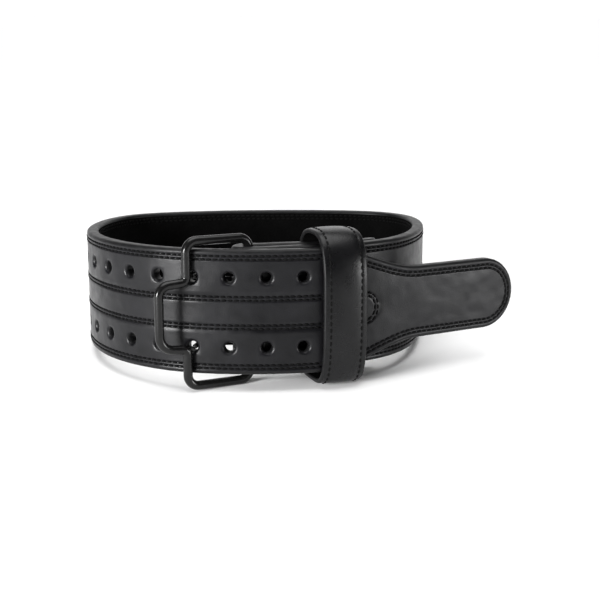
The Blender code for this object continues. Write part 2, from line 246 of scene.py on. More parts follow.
def unit(vector):
    return vector / np.linalg.norm(vector)


def smooth_step(value):
    value = np.clip(value, 0.0, 1.0)
    return value * value * (3 - 2 * value)


def arc_lengths(points):
    return np.concatenate([[0], np.cumsum(np.linalg.norm(np.diff(points, axis=0), axis=1))])


def resample(points, step):
    lengths = arc_lengths(points)
    count = max(2, round(lengths[-1] / step) + 1)
    at = np.linspace(0, lengths[-1], count)
    return np.column_stack([np.interp(at, lengths, points[:, k]) for k in range(points.shape[1])])


def spline(points, step):
    """Points about `step` apart along the uniform cubic B-spline that starts and ends on its end points."""
    points = np.asarray(points, dtype=float)
    padded = np.vstack([2 * points[0] - points[1], points, 2 * points[-1] - points[-2]])
    t = np.linspace(0, 1, SPLINE_STEPS, endpoint=False)[:, None]
    fine = [((1 - t) ** 3 * a + (3 * t ** 3 - 6 * t ** 2 + 4) * b
             + (-3 * t ** 3 + 3 * t ** 2 + 3 * t + 1) * c + t ** 3 * d) / 6
            for a, b, c, d in zip(padded, padded[1:], padded[2:], padded[3:])]
    return resample(np.vstack(fine + [points[-1:]]), step)


def quarter_circle(count):
    """Directions (length, height) from straight up round to along the strap."""
    turns = np.linspace(0, math.pi / 2, count)
    return np.column_stack([np.sin(turns), np.cos(turns)])


def outward_normals(points):
    tangent = np.gradient(points, axis=0)
    tangent /= np.linalg.norm(tangent, axis=1)[:, None]
    return np.column_stack([tangent[:, 1], -tangent[:, 0]])


class Line:
    """A plan curve of the outer face with its outward normals, looked up by its length from `zero`."""

    def __init__(self, points, normals, zero=0):
        self.points = points
        self.normals = normals
        self.lengths = arc_lengths(points)
        self.lengths -= self.lengths[zero]

    def at(self, length):
        place = np.stack([np.interp(length, self.lengths, self.points[:, k]) for k in range(2)], axis=-1)
        normal = np.stack([np.interp(length, self.lengths, self.normals[:, k]) for k in range(2)], axis=-1)
        return place, normal / np.linalg.norm(normal, axis=-1, keepdims=True)

    def crossing(self, across):
        """The length at which the front strap passes `across`."""
        front = self.lengths > FRONT_SHARE * self.lengths[-1]
        return float(np.interp(across, self.points[front, 0], self.lengths[front]))


def in_metres(rows):
    return np.array(rows) * ROUTE_SCALE


def plain_line(points):
    return Line(points, outward_normals(points))


def hinge_place():
    loop = plain_line(spline(in_metres(LOOP_ROUTE), PLAN_STEP))
    place, normal = loop.at(loop.crossing(HINGE_ACROSS))
    return place - normal * (2 * LEATHER + LAP_GAP + TOUCH + WIRE / 2)


HINGE = hinge_place()


def route_line():
    """Outer face from where the buckle end leaves the hinge bar to the tongue's tip."""
    start = HINGE - np.array([0, LEATHER + TOUCH + WIRE / 2])
    lead = start + np.array([FOLD_LEAD, 0])
    controls = np.vstack([[start, lead], in_metres(LAP_ROUTE), in_metres(LOOP_ROUTE)])
    return plain_line(spline(controls, PLAN_STEP))


ROUTE = route_line()


def strap_line():
    """Outer face from the flap's end, round the fold and along the route, where its length starts from 0."""
    flap_lengths = np.arange(FLAP_LENGTH, PLAN_STEP / 2, -PLAN_STEP)
    place, normal = ROUTE.at(flap_lengths)
    bar_gap = WIRE + 2 * TOUCH
    gap = bar_gap + (FLAP_END_GAP - bar_gap) * smooth_step(flap_lengths / FLAP_LENGTH)
    flap = place - normal * (2 * LEATHER + gap)[:, None]
    radius = WIRE / 2 + TOUCH + LEATHER
    first = ROUTE.normals[0]
    angles = math.atan2(-first[1], -first[0]) + np.arange(0, math.pi, PLAN_STEP / radius)
    fold_normals = np.column_stack([np.cos(angles), np.sin(angles)])
    fold = HINGE + radius * fold_normals
    points = np.vstack([flap, fold, ROUTE.points])
    normals = np.vstack([-normal, fold_normals, ROUTE.normals])
    return Line(points, normals, len(flap) + len(fold)), len(flap)


STRAP, FLAP_POINTS = strap_line()
STRAP_START = STRAP.lengths[0]
FOLD_START = STRAP.lengths[FLAP_POINTS]
STRAP_END = STRAP.lengths[-1]
TIP_CENTRE = STRAP_END - TONGUE_WIDTH / 2
MID_HEIGHT = BELT_WIDTH / 2
KEEPER_LENGTH = ROUTE.crossing(KEEPER_PLACE)
MIDDLE_TURN = ROUTE.crossing(KEEPER_PLACE + TURN_BEYOND_KEEPER)


def front_bar_length():
    """Route length at which the front bar lies on the strap, `FRAME_REACH` from the hinge bar."""
    last = ROUTE.crossing(HINGE_ACROSS)
    lengths = np.arange(last, last - 2 * FRAME_REACH, -PLAN_STEP / 10)
    place, normal = ROUTE.at(lengths)
    reach = np.linalg.norm(place + normal * (WIRE / 2 + TOUCH) - HINGE, axis=1)
    return float(np.interp(FRAME_REACH, reach, lengths))


FRONT_BAR_LENGTH = front_bar_length()
USED_COLUMN_LENGTH = FRONT_BAR_LENGTH + WIRE / 2 + PRONG_WIRE / 2 + TOUCH - PRONG_UNDER


def stand_matrix():
    """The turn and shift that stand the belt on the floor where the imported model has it."""
    turn = Matrix.Rotation(-STAND_TILT, 4, "X")
    plan = STRAP.at(np.linspace(0, STRAP_END, PLAN_SAMPLES))[0]
    left = plan[:, 0].min()
    back = max((turn @ Vector((x, y, BELT_WIDTH - EDGE_ROUND))).y for x, y in plan)
    rim_x, rim_y = plan[plan[:, 1].argmax()]
    low = (turn @ Vector((rim_x, rim_y - EDGE_ROUND, 0.0))).z
    cad_low, cad_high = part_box("belt_body")
    shift = Vector((cad_low.x - left, cad_high.y - back, cad_low.z - low))
    return Matrix.Translation(shift) @ turn


STAND = stand_matrix()


def strap_points(length, height, depth):
    """Places, in the belt's own frame, of points given unrolled, as an array (..., 3)."""
    place, normal = STRAP.at(length)
    plan = place - normal * np.asarray(depth)[..., None]
    return np.concatenate([plan, np.broadcast_to(MID_HEIGHT + height, length.shape)[..., None]], axis=-1)


def half_height(length):
    blend = smooth_step((STRAP_END - length - TONGUE_LENGTH) / SHOULDER_LENGTH)
    return TONGUE_WIDTH / 2 + (BELT_WIDTH - TONGUE_WIDTH) / 2 * blend


def outline(lengths):
    """Upper edge of the unrolled strap as points (length, height) and outward normals in that plane."""
    heights = half_height(lengths)
    slope = np.gradient(heights, lengths)
    normals = np.column_stack([-slope, np.ones_like(slope)])
    return np.column_stack([lengths, heights]), normals / np.linalg.norm(normals, axis=1)[:, None]


def hole_lengths():
    """Centres of the hole columns: the pull of the belt holds each prong against its hole's tongue side."""
    used = USED_COLUMN_LENGTH - (HOLE_DIAMETER - PRONG_WIRE) / 2 + TOUCH
    return [used + i * HOLE_PITCH for i in range(-COLUMNS_TOWARDS_BACK, COLUMNS_TOWARDS_TIP + 1)]


def spread(breaks, step):
    """Values from the first break to the last, on every break and about `step` apart between them."""
    values = [breaks[0]]
    for low, high in zip(breaks, breaks[1:]):
        count = max(1, math.ceil((high - low) / step - TINY))
        values.extend(low + (high - low) * (k + 1) / count for k in range(count))
    return np.array(values)


def groove_rows(centre):
    return [centre + GROOVE_WIDTH / 2 * share for share in GROOVE_SHARES]


def window_rows():
    """Row heights above the middle across a prong hole's window, two of them on the fold's slot."""
    upper = (SLOT_HALF / 2, SLOT_HALF, (WINDOW + SLOT_HALF) / 2, WINDOW)
    return [ROW_OFFSET + offset for offset in (*(-value for value in reversed(upper)), 0, *upper)]


def core_rows():
    grooves = [height for line in MIDDLE_LINES for height in groove_rows(line)]
    return sorted([*PLAIN_ROWS, *grooves, *window_rows(), BELT_WIDTH / 2 - BAND])


def band_rows():
    return [EDGE_ROUND] + [d for line in EDGE_LINES for d in groove_rows(line)] + [BAND]


def groove_depth(offsets, lines):
    """Depth of the stitch grooves at distances `offsets`, with grooves centred on `lines`."""
    near = np.min([np.abs(offsets - line) for line in lines], axis=0)
    return GROOVE_DEPTH * (1 - smooth_step(near / (GROOVE_WIDTH / 2)))


class FaceGrid:
    """Rows and stations of one face, unrolled: `lengths`, `heights` and `sunk` are (stations, rows)."""

    def __init__(self, stations):
        edge, normals = outline(stations)
        round_normals = quarter_circle(TIP_STEPS + 1)[1:]
        tip = np.array([TIP_CENTRE, 0.0]) + TONGUE_WIDTH / 2 * round_normals
        self.edge = np.vstack([edge, tip])
        self.normals = np.vstack([normals, round_normals])
        band = np.array(band_rows())
        core = np.array(core_rows())
        inner = self.inset(BAND)
        core_heights = self.core_heights(core, inner[:, 1])
        top_lengths = np.stack([self.inset(d)[:, 0] for d in band[:-1]], axis=1)
        top_heights = np.stack([self.inset(d)[:, 1] for d in band[:-1]], axis=1)
        core_lengths = np.repeat(inner[:, :1], 2 * len(core) - 1, axis=1)
        self.lengths = np.hstack([top_lengths, core_lengths, top_lengths[:, ::-1]])
        self.heights = np.hstack([top_heights, core_heights[:, ::-1], -core_heights[:, 1:],
                                  -top_heights[:, ::-1]])
        band_sunk = np.tile(groove_depth(band[:-1], EDGE_LINES), (len(self.edge), 1))
        past_turn = np.maximum(inner[:, :1] - MIDDLE_TURN, 0) / TURN_SQUASH
        core_sunk = groove_depth(np.hypot(past_turn, core_heights), MIDDLE_LINES)
        self.sunk = np.hstack([band_sunk, core_sunk[:, ::-1], core_sunk[:, 1:], band_sunk[:, ::-1]])
        self.middle_row = len(band) + len(core) - 2
        self.core_at = {round(height, DIGITS): self.middle_row - k for k, height in enumerate(core)}

    def inset(self, distance):
        return self.edge - self.normals * distance

    def core_heights(self, core, limit):
        """Core rows keep their heights near the middle and draw together where the strap narrows."""
        full = core[-1]
        kept = MIDDLE_LINES[-1] + GROOVE_WIDTH
        low = np.minimum(kept, NARROW_SHARE * limit)[:, None]
        inner = core[None, :] * low / kept
        outer = low + (core[None, :] - kept) / (full - kept) * (limit[:, None] - low)
        return np.where(core[None, :] <= kept, inner, outer)


def edge_profile():
    """Inset from the outline and depth behind the face round the strap's edge, between the two faces."""
    turns = np.linspace(0, math.pi / 2, EDGE_STEPS + 1)
    first = [(EDGE_ROUND * (1 - math.sin(a)), EDGE_ROUND * (1 - math.cos(a))) for a in turns[1:]]
    second = [(inset, LEATHER - depth) for inset, depth in reversed(first)]
    return first + [(0.0, LEATHER / 2)] + second


def strap_stations():
    """Station lengths of the straight zone, with breaks on the prong holes' windows and the fold's slots."""
    breaks = [STRAP_START, FOLD_START - FOLD_SPAN, FOLD_START, 0.0, FOLD_SPAN]
    for length in hole_lengths():
        breaks.extend((length - WINDOW, length + WINDOW))
    breaks.append(TIP_CENTRE)
    coarse = spread(breaks, STATION_STEP)
    windows = [length + WINDOW * (2 * k / WINDOW_STEPS - 1)
               for length in hole_lengths() for k in range(WINDOW_STEPS + 1)]
    fold = np.arange(FOLD_START, 0.0, FOLD_STEP)
    turn = np.arange(MIDDLE_TURN, MIDDLE_TURN + TURN_SPAN, TURN_STEP)
    return np.unique(np.round(np.concatenate([coarse, windows, fold, turn]), DIGITS))


def end_rounding(lengths):
    """How far each station's faces draw in towards the middle of the leather near the flap's end."""
    inside = np.clip((lengths - STRAP_START) / EDGE_ROUND, 0, 1)
    return EDGE_ROUND * (1 - np.sqrt(1 - (1 - inside) ** 2))


def add_object(name, data):
    item = bpy.data.objects.new(name, data)
    bpy.context.scene.collection.objects.link(item)
    return item


def make_mesh(name, vertices, faces, materials, slots=None):
    mesh = bpy.data.meshes.new(name)
    mesh.from_pydata(vertices.tolist(), [], faces)
    for material in materials:
        mesh.materials.append(material)
    if slots is not None:
        mesh.polygons.foreach_set("material_index", slots)
    mesh.shade_smooth()
    return add_object(name, mesh)


def close_mesh(item):
    build = bmesh.new()
    build.from_mesh(item.data)
    bmesh.ops.remove_doubles(build, verts=build.verts, dist=MERGE)
    bmesh.ops.recalc_face_normals(build, faces=build.faces)
    build.to_mesh(item.data)
    build.free()


def stand(item):
    item.data.transform(STAND)
    return item


def ring_values(grid):
    """Unrolled lengths, heights and depths of each station's ring, which runs down the outer face first."""
    profile = edge_profile()
    rows, side = grid.lengths.shape[1], len(profile)
    lengths, heights, depths = (np.zeros((len(grid.edge), 2 * (rows + side))) for _ in range(3))
    for values, outer, inner in ((lengths, grid.lengths, grid.lengths), (heights, grid.heights, grid.heights),
                                 (depths, grid.sunk, LEATHER - grid.sunk)):
        values[:, :rows] = outer
        values[:, rows + side:2 * rows + side] = inner[:, ::-1]
    for k, (inset, depth) in enumerate(profile):
        edge = grid.inset(inset)
        for column, sign in ((rows + k, -1), (2 * (rows + side) - 1 - k, 1)):
            lengths[:, column] = edge[:, 0]
            heights[:, column] = sign * edge[:, 1]
            depths[:, column] = depth
    squeeze = end_rounding(grid.edge[:, 0])[:, None]
    return lengths, heights, squeeze + depths * (1 - 2 * squeeze / LEATHER)


def loop_around(first, last, top, bottom):
    """Stations and rows round a block that is left out, in order."""
    path = [(i, top) for i in range(first, last)] + [(last, j) for j in range(top, bottom)]
    return path + [(i, bottom) for i in range(last, first, -1)] + [(first, j) for j in range(bottom, top, -1)]


class StrapMesh:
    """The strap's vertices and faces. Blocks are left out of its faces for the holes and the fold's slots."""

    def __init__(self):
        ends = STRAP_START + EDGE_ROUND * np.array(END_SHARES)
        self.stations = np.unique(np.concatenate([strap_stations(), ends]))
        self.grid = FaceGrid(self.stations)
        values = ring_values(self.grid)
        self.rows = self.grid.lengths.shape[1]
        self.count, self.ring = values[0].shape
        self.side = self.ring // 2 - self.rows
        self.vertices = list(strap_points(*values).reshape(-1, 3))
        self.faces = []
        self.slots = []

    def add(self, face, slot):
        self.faces.append(face)
        self.slots.append(slot)

    def inner_column(self, row):
        return 2 * self.rows + self.side - 1 - row

    def block(self, first_length, last_length, half, sign):
        """Stations and rows between two lengths, within `half` of the upper hole row or, for -1, the lower."""
        first, last = (int(np.abs(self.stations - at).argmin()) for at in (first_length, last_length))
        picked = [self.grid.core_at[round(ROW_OFFSET + offset, DIGITS)] for offset in (-half, half)]
        if sign < 0:
            picked = [2 * self.grid.middle_row - row for row in picked]
        return first, last, min(picked), max(picked)

    def add_skin(self, blocks):
        """Both faces and the edge all round, without the blocks of the faces."""
        removed = {(i, j) for first, last, top, bottom in blocks
                   for i in range(first, last) for j in range(top, bottom)}
        ring, rows, side = self.ring, self.rows, self.side
        for i in range(self.count - 1):
            for j in range(ring):
                m = (j + 1) % ring
                on_outer = j < rows - 1
                on_inner = rows + side <= j < 2 * rows + side - 1
                row = j if on_outer else self.inner_column(j) - 1
                if (on_outer or on_inner) and (i, row) in removed:
                    continue
                face = (i * ring + j, i * ring + m, (i + 1) * ring + m, (i + 1) * ring + j)
                self.add(face, FACE if on_outer else INNER if on_inner else EDGE)

    def add_flap_end(self):
        for j in range(self.rows - 1):
            self.add((j, self.inner_column(j), self.inner_column(j + 1), j + 1), EDGE)
        self.add(tuple(range(self.rows - 1, self.rows + self.side + 1)), EDGE)
        self.add((*range(self.inner_column(0), self.ring), 0), EDGE)

    def rims(self, path):
        """Vertices of a loop on the outer face and on the inner one."""
        outer = [i * self.ring + j for i, j in path]
        inner = [i * self.ring + self.inner_column(j) for i, j in path]
        return outer, inner

    def add_band(self, near, far, slot):
        for k in range(len(near)):
            m = (k + 1) % len(near)
            self.add((near[k], near[m], far[m], far[k]), slot)

    def add_slot(self, block):
        self.add_band(*self.rims(loop_around(*block)), EDGE)

    def add_hole(self, length, height, block):
        path = loop_around(*block)
        outer, inner = self.rims(path)
        angles = np.array([math.atan2(self.grid.heights[i, j] - height, self.grid.lengths[i, j] - length)
                           for i, j in path])
        loops = [outer]
        for share, deep in HOLE_PROFILE:
            radius = share * HOLE_DIAMETER / 2
            circle = strap_points(length + radius * np.cos(angles), height + radius * np.sin(angles),
                                  np.full(len(angles), deep * LEATHER))
            loops.append(list(range(len(self.vertices), len(self.vertices) + len(path))))
            self.vertices.extend(circle)
        loops.append(inner)
        walls = len(HOLE_PROFILE) - HOLE_FACE_BANDS
        bands = [FACE] * HOLE_FACE_BANDS + [EDGE] * walls + [INNER]
        for near, far, slot in zip(loops, loops[1:], bands):
            self.add_band(near, far, slot)


def build_strap(leather, edge_leather, suede):
    mesh = StrapMesh()
    holes = [(length, sign * ROW_OFFSET, mesh.block(length - WINDOW, length + WINDOW, WINDOW, sign))
             for length in hole_lengths() for sign in (1, -1)]
    slots = [mesh.block(FOLD_START - FOLD_SPAN, FOLD_SPAN, SLOT_HALF, sign) for sign in (1, -1)]
    mesh.add_skin([block for _, _, block in holes] + slots)
    mesh.add_flap_end()
    for block in slots:
        mesh.add_slot(block)
    for hole in holes:
        mesh.add_hole(*hole)
    item = make_mesh("belt_strap", np.array(mesh.vertices), mesh.faces, (leather, edge_leather, suede),
                     mesh.slots)
    close_mesh(item)
    return stand(item)


def stitch_path_lengths(path, pitch):
    """Lengths along a run, whose first columns are its places, and the middles of the stitches on it."""
    lengths = arc_lengths(path[:, :3])
    count = max(1, int(lengths[-1] / pitch))
    return lengths, (np.arange(count) + 0.5) * lengths[-1] / count


def build_stitches(name, runs, to_places, pitch, thread_depth, material):
    """Short threads along each run. `to_places` turns run points and sunk depths into places and normals."""
    rings = len(THREAD_PROFILE)
    shares = np.linspace(-1, 1, rings)
    radii = THREAD / 2 * np.array(THREAD_PROFILE)
    sunk = thread_depth + THREAD_DIP * shares ** 4
    vertices = []
    for run in runs:
        lengths, centres = stitch_path_lengths(run, pitch)
        at = centres[:, None] + STITCH_LENGTH / 2 * shares[None, :]
        flat = np.stack([np.interp(at, lengths, run[:, k]) for k in range(run.shape[1])], axis=-1)
        place, normal = to_places(flat, np.broadcast_to(sunk, at.shape))
        tangent = np.gradient(place, axis=1)
        tangent /= np.linalg.norm(tangent, axis=2, keepdims=True)
        across = np.cross(normal, tangent)
        turns = 2 * math.pi * (np.arange(STITCH_SIDES) + 0.5) / STITCH_SIDES
        ring = np.cos(turns)[:, None] * normal[:, :, None, :] + np.sin(turns)[:, None] * across[:, :, None, :]
        vertices.append((place[:, :, None, :] + radii[None, :, None, None] * ring).reshape(-1, 3))
    vertices = np.vstack(vertices)
    per_stitch = rings * STITCH_SIDES
    faces = []
    for base in range(0, len(vertices), per_stitch):
        for r in range(rings - 1):
            for k in range(STITCH_SIDES):
                m = (k + 1) % STITCH_SIDES
                a = base + r * STITCH_SIDES
                faces.append((a + k, a + m, a + STITCH_SIDES + m, a + STITCH_SIDES + k))
        faces.append(tuple(base + k for k in reversed(range(STITCH_SIDES))))
        faces.append(tuple(base + per_stitch - STITCH_SIDES + k for k in range(STITCH_SIDES)))
    return stand(make_mesh(name, vertices, faces, (material,)))


def strap_runs():
    """Stitch lines of the unrolled strap: two along the edges, two about the middle, each turning back."""
    lengths = np.arange(STRAP_START + EDGE_LINES[1], TIP_CENTRE, RUN_STEP)
    edge, normals = outline(lengths)
    round_normals = quarter_circle(RUN_TURNS)
    tip = np.array([TIP_CENTRE, 0.0]) + TONGUE_WIDTH / 2 * round_normals
    edge = np.vstack([edge, tip])
    normals = np.vstack([normals, round_normals])
    uppers = [edge - normals * inset for inset in EDGE_LINES]
    straight = np.arange(STRAP_START + EDGE_LINES[1], MIDDLE_TURN, RUN_STEP)
    for offset in MIDDLE_LINES:
        upper = np.column_stack([straight, np.full(len(straight), offset)])
        turn = np.array([MIDDLE_TURN, 0.0]) + offset * round_normals * np.array([TURN_SQUASH, 1.0])
        uppers.append(np.vstack([upper, turn]))
    return [np.vstack([upper, (upper * np.array([1, -1]))[-2::-1]]) for upper in uppers]


def strap_places(side):
    """Places on the outer face (side 1) or the inner one (side -1), and the face's outward normals."""
    def to_places(flat, sunk):
        depth = sunk if side > 0 else LEATHER - sunk
        place = strap_points(flat[..., 0], flat[..., 1], depth)
        normal = STRAP.at(flat[..., 0])[1] * side
        return place, np.concatenate([normal, np.zeros(normal.shape[:-1] + (1,))], axis=-1)
    return to_places


def rounded_path(corners, closed):
    """Corners (point, fillet radius) joined by straight runs and arcs, as an array of points."""
    path = []
    count = len(corners)
    for i, (point, radius) in enumerate(corners):
        if radius == 0 or (not closed and i in (0, count - 1)):
            path.append(np.array(point))
            continue
        before = unit(np.array(corners[i - 1][0]) - point)
        after = unit(np.array(corners[(i + 1) % count][0]) - point)
        half = math.acos(np.clip(np.dot(before, after), -1, 1)) / 2
        centre = point + unit(before + after) * radius / math.sin(half)
        start = point + before * radius / math.tan(half) - centre
        end = point + after * radius / math.tan(half) - centre
        turn = math.pi - 2 * half
        steps = max(2, round(turn / WIRE_BEND_STEP))
        for k in range(steps + 1):
            share = k / steps
            path.append(centre + (math.sin((1 - share) * turn) * start + math.sin(share * turn) * end)
                        / math.sin(turn))
    return np.array(path)


def sweep_wire(name, path, radii, closed, side_axis, material):
    """A round wire along a path that lies in one plane, whose normal is `side_axis`."""
    if closed:
        tangents = np.roll(path, -1, axis=0) - np.roll(path, 1, axis=0)
    else:
        tangents = np.gradient(path, axis=0)
    tangents /= np.linalg.norm(tangents, axis=1)[:, None]
    across = np.cross(tangents, side_axis)
    turns = 2 * math.pi * np.arange(WIRE_SIDES) / WIRE_SIDES
    ring = np.cos(turns)[:, None] * across[:, None, :] + np.sin(turns)[:, None] * side_axis
    vertices = (path[:, None, :] + np.asarray(radii)[:, None, None] * ring).reshape(-1, 3)
    rings = len(path)
    faces = []
    for i in range(rings if closed else rings - 1):
        j = (i + 1) % rings
        for k in range(WIRE_SIDES):
            m = (k + 1) % WIRE_SIDES
            faces.append((i * WIRE_SIDES + k, i * WIRE_SIDES + m, j * WIRE_SIDES + m, j * WIRE_SIDES + k))
    if not closed:
        faces.append(tuple(range(WIRE_SIDES)))
        faces.append(tuple((rings - 1) * WIRE_SIDES + k for k in range(WIRE_SIDES)))
    item = make_mesh(name, vertices, faces, (material,))
    close_mesh(item)
    return stand(item)


UP = np.array([0.0, 0.0, 1.0])


def build_frame(material):
    place, normal = ROUTE.at(FRONT_BAR_LENGTH)
    outward = np.array([*unit(place + normal * (WIRE / 2 + TOUCH) - HINGE), 0.0])
    hinge = np.array([*HINGE, 0.0])
    top = FRAME_OPENING / 2 + WIRE / 2
    middle_reach = FRAME_REACH + STEP_REACH
    upper_step = ROW_OFFSET - UPPER_STEP_DROP
    outline_corners = (
        (0.0, top, FRAME_CORNER),
        (FRAME_REACH, top, FRAME_CORNER),
        (FRAME_REACH, upper_step, STEP_CORNER),
        (middle_reach, upper_step - STEP_TAPER, FRAME_CORNER),
        (middle_reach, STEP_TAPER - ROW_OFFSET, LOWER_CORNER),
        (FRAME_REACH, -ROW_OFFSET, STEP_CORNER),
        (FRAME_REACH, -top, FRAME_CORNER),
        (0.0, -top, FRAME_CORNER),
    )
    corners = [(hinge + outward * reach + UP * (MID_HEIGHT - FRAME_DROP + height), radius)
               for reach, height, radius in outline_corners]
    path = rounded_path(corners, True)
    return sweep_wire("buckle_wire", path, [WIRE / 2] * len(path), True, np.cross(outward, UP), material)


def build_prong(name, row, material):
    height = MID_HEIGHT + row * ROW_OFFSET
    place, normal = ROUTE.at(USED_COLUMN_LENGTH)
    radius = PRONG_WIRE / 2
    eye_radius = WIRE / 2 + TOUCH + radius
    start = np.array([HINGE[0], HINGE[1] - eye_radius, height])
    bend = np.array([*(place - normal * (LEATHER + 2 * TOUCH + radius)), height])
    tip = np.array([*(place + normal * PRONG_TIP), height])
    path = list(rounded_path([(start, 0), (bend, PRONG_BEND), (tip, 0)], False))[:-1]
    radii = [radius] * len(path)
    for turn in np.linspace(0, PRONG_TIP_TURN, PRONG_TIP_RINGS):
        path.append(tip - np.array([*normal, 0.0]) * radius * (1 - math.sin(turn)))
        radii.append(radius * math.cos(turn))
    shank = sweep_wire(name, np.array(path), radii, False, UP, material)
    turns = np.arange(EYE_RINGS) * 2 * math.pi / EYE_RINGS
    ring = np.column_stack([HINGE[0] + eye_radius * np.cos(turns), HINGE[1] + eye_radius * np.sin(turns),
                            np.full(len(turns), height)])
    eye = sweep_wire(name + "_eye", ring, [radius] * len(ring), True, UP, material)
    join = shank.modifiers.new("eye", "BOOLEAN")
    join.operation = "UNION"
    join.solver = "EXACT"
    join.object = eye
    apply_modifiers(shank)
    bpy.data.objects.remove(eye, do_unlink=True)
    shank.data.shade_smooth()
    return shank


def apply_modifiers(item):
    evaluated = item.evaluated_get(bpy.context.evaluated_depsgraph_get())
    mesh = bpy.data.meshes.new_from_object(evaluated)
    item.modifiers.clear()
    item.data = mesh


def keeper_frame():
    """The keeper's middle on the front strap's outer face, and the directions along the strap and inwards."""
    place, normal = ROUTE.at(KEEPER_LENGTH)
    return place, np.array([-normal[1], normal[0]]), -normal


def strap_depths(points, along):
    place, forward, inward = keeper_frame()
    offsets = points - place
    order = np.argsort(offsets @ forward)
    return np.interp(along, (offsets @ forward)[order], (offsets @ inward)[order])


class KeeperShape:
    """The keeper's mid-line section at places along the strap, and points on its outer and inner faces."""

    def __init__(self):
        self.place, self.forward, self.inward = keeper_frame()
        self.along = np.linspace(-KEEPER_WIDTH / 2, KEEPER_WIDTH / 2, KEEPER_SECTIONS)
        near = np.abs(ROUTE.lengths - KEEPER_LENGTH) < KEEPER_WIDTH
        self.fronts = strap_depths(ROUTE.points[near], self.along)
        flap = STRAP.points[:FLAP_POINTS]
        self.back = strap_depths(flap, self.along).max()
        centre = self.place + self.inward * self.back / 2
        back_edge = ROUTE.points[:, 1].max()
        self.drop = math.tan(STAND_TILT) * (back_edge - centre[1])
        self.above_floor = 0.0
        rings = [self.ring(shift, 0.0)[0] for shift in self.along]
        self.above_floor = min((ring[:, 2] + math.tan(STAND_TILT) * (back_edge - ring[:, 1])).min()
                               for ring in rings)

    def section(self, shift):
        front = np.interp(shift, self.along, self.fronts)
        near = front - TOUCH - KEEPER_LEATHER / 2 - KEEPER_BULGE
        far = self.back + TOUCH + KEEPER_LEATHER / 2 + KEEPER_BULGE
        top = BELT_WIDTH + KEEPER_RISE - KEEPER_LEATHER / 2 - KEEPER_CROWN - KEEPER_MIDDLE
        bottom = KEEPER_MIDDLE + self.drop - KEEPER_LEATHER / 2 - KEEPER_CROWN
        turns = np.linspace(0, 2 * math.pi, SECTION_POINTS, endpoint=False)
        across, up = -np.cos(turns), np.sin(turns)
        power = np.where(up > 0, KEEPER_UPPER_POWER, KEEPER_LOWER_POWER)
        reach = np.where(up > 0, top, bottom)
        depth = np.sign(across) * np.abs(across) ** (2 / power)
        height = np.sign(up) * np.abs(up) ** (2 / power)
        outline_points = np.column_stack([(near + far) / 2 + (far - near) / 2 * depth,
                                          KEEPER_MIDDLE + reach * height])
        return resample(np.vstack([outline_points, outline_points[:1]]), KEEPER_STEP)[:-1]

    def ring(self, shift, depth):
        """A ring of points at `shift` along the keeper, at `depth` behind its crowned outer face."""
        middle = self.section(shift)
        tangent = np.roll(middle, -1, axis=0) - np.roll(middle, 1, axis=0)
        tangent /= np.linalg.norm(tangent, axis=1)[:, None]
        outward = np.column_stack([-tangent[:, 1], tangent[:, 0]])
        flat = middle + (KEEPER_LEATHER / 2 + keeper_crown(shift) - depth) * outward
        plan = self.place + self.forward * shift + self.inward * flat[:, :1]
        normal_plan = self.inward * outward[:, :1]
        points = np.column_stack([plan, flat[:, 1] - self.above_floor])
        normals = np.column_stack([normal_plan, outward[:, 1]])
        return points, normals


def keeper_crown(shift):
    return KEEPER_CROWN * (1 - (2 * shift / KEEPER_WIDTH) ** 2)


def keeper_thickness(shift):
    """Leather between the crowned outer face and the plain inner one."""
    return KEEPER_LEATHER + keeper_crown(shift)


def build_keeper(shape, leather, edge_leather, suede):
    half = KEEPER_WIDTH / 2
    line = half - KEEPER_LINE
    flat = half - KEEPER_EDGE
    face = [*KEEPER_FACE_COLUMNS, *groove_rows(line), flat - KEEPER_EDGE_COLUMN, flat]
    outer = sorted({round(sign * value, DIGITS) for value in face for sign in (-1, 1)})
    grooves = KEEPER_GROOVE_SHARE * groove_depth(np.abs(outer), (line,))
    columns = [(shift, float(sunk), FACE) for shift, sunk in zip(outer, grooves)]
    turns = np.linspace(0, math.pi / 2, KEEPER_EDGE_STEPS + 1)[1:]
    rounding = [(half - KEEPER_EDGE * (1 - math.sin(a)), KEEPER_EDGE * (1 - math.cos(a))) for a in turns]
    columns += [(shift, depth, EDGE) for shift, depth in rounding]
    columns += [(shift, keeper_thickness(shift) - depth, EDGE) for shift, depth in reversed(rounding)]
    columns += [(shift, keeper_thickness(shift), INNER)
                for shift in (flat, KEEPER_INNER_COLUMN, -KEEPER_INNER_COLUMN, -flat)]
    columns += [(-shift, keeper_thickness(shift) - depth, EDGE) for shift, depth in rounding]
    columns += [(-shift, depth, EDGE) for shift, depth in reversed(rounding)]
    vertices = [shape.ring(shift, depth)[0] for shift, depth, _ in columns]
    count = len(vertices[0])
    faces = []
    slots = []
    for j in range(len(columns)):
        m = (j + 1) % len(columns)
        kind = columns[j][2] if columns[j][2] == columns[m][2] else EDGE
        for k in range(count):
            n = (k + 1) % count
            faces.append((j * count + k, j * count + n, m * count + n, m * count + k))
            slots.append(kind)
    item = make_mesh("keeper_band", np.vstack(vertices), faces, (leather, edge_leather, suede), slots)
    close_mesh(item)
    return stand(item)


def keeper_runs(shape):
    line = KEEPER_WIDTH / 2 - KEEPER_LINE
    runs = []
    for shift in (-line, line):
        place, normal = shape.ring(shift, 0.0)
        runs.append(np.vstack([np.hstack([place, normal]), np.hstack([place, normal])[:1]]))
    return runs


def keeper_places(flat, sunk):
    normal = flat[..., 3:]
    normal = normal / np.linalg.norm(normal, axis=-1, keepdims=True)
    return flat[..., :3] - normal * sunk[..., None], normal


